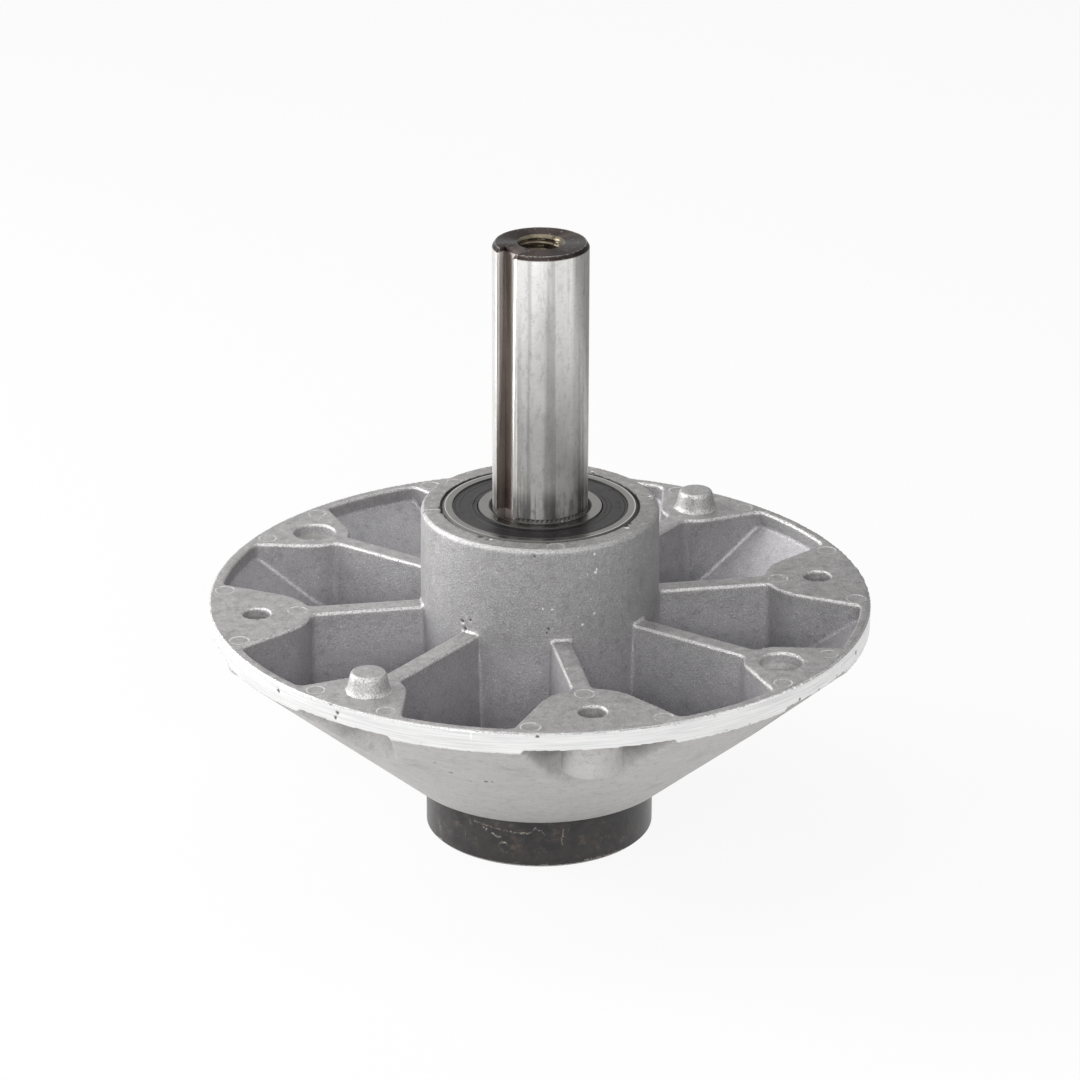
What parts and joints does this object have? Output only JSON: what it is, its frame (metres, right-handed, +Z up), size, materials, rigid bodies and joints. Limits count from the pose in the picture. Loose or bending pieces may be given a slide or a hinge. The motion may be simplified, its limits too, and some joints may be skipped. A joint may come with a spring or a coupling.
{
  "type": "blade spindle bearing housing",
  "caption": "Die-cast blade spindle housing with a ribbed round flange, a keyed shaft in sealed ball bearings and a steel blade hub.",
  "frame": {"origin": "centre of the blade hub's lower face, on which the spindle stands", "axes": "+Z up along the shaft, bolt pads on the X and Y axes"},
  "size_m": [0.174, 0.174, 0.163],
  "materials": {
    "cast_aluminium": "die cast, fine grained, matt, with a turned rim",
    "ground_steel": "ground and bright, with a dark oxide end face",
    "black_oxide_steel": "turned and blackened, mottled",
    "bearing_steel": "ground bearing steel",
    "plain_steel": "plain spring and key steel",
    "seal_rubber": "black moulded rubber",
    "cage_polymer": "moulded natural polyamide"
  },
  "bodies": {
    "housing_body": {"housing": "cast_aluminium", "upper_outer_ring": "bearing_steel", "upper_top_seal": "seal_rubber", "upper_bottom_seal": "seal_rubber", "lower_outer_ring": "bearing_steel", "lower_top_seal": "seal_rubber", "lower_bottom_seal": "seal_rubber", "retaining_ring": "plain_steel"},
    "spindle": {"shaft": "ground_steel", "blade_hub": "black_oxide_steel", "hub_key": "plain_steel", "spacer_tube": "plain_steel", "upper_inner_ring": "bearing_steel", "lower_inner_ring": "bearing_steel"},
    "upper_ball_set": {"upper_cage": "cage_polymer", "upper_ball_1": "bearing_steel", "upper_ball_2": "bearing_steel", "upper_ball_3": "bearing_steel", "upper_ball_4": "bearing_steel", "upper_ball_5": "bearing_steel", "upper_ball_6": "bearing_steel", "upper_ball_7": "bearing_steel", "upper_ball_8": "bearing_steel", "upper_ball_9": "bearing_steel"},
    "lower_ball_set": {"lower_cage": "cage_polymer", "lower_ball_1": "bearing_steel", "lower_ball_2": "bearing_steel", "lower_ball_3": "bearing_steel", "lower_ball_4": "bearing_steel", "lower_ball_5": "bearing_steel", "lower_ball_6": "bearing_steel", "lower_ball_7": "bearing_steel", "lower_ball_8": "bearing_steel", "lower_ball_9": "bearing_steel"}
  },
  "joints": [
    {"name": "spindle_spin", "type": "hinge", "parent": "housing_body", "child": "spindle", "pos_m": [0, 0, 0.0905], "axis": [0, 0, 1], "continuous": true},
    {"name": "upper_cage_spin", "type": "hinge", "parent": "housing_body", "child": "upper_ball_set", "pos_m": [0, 0, 0.0831], "axis": [0, 0, 1], "continuous": true},
    {"name": "lower_cage_spin", "type": "hinge", "parent": "housing_body", "child": "lower_ball_set", "pos_m": [0, 0, 0.0262], "axis": [0, 0, 1], "continuous": true}
  ],
  "couplings": [
    {"joint": "upper_cage_spin", "follows": "spindle_spin", "ratio": 0.3969},
    {"joint": "lower_cage_spin", "follows": "spindle_spin", "ratio": 0.3969}
  ]
}
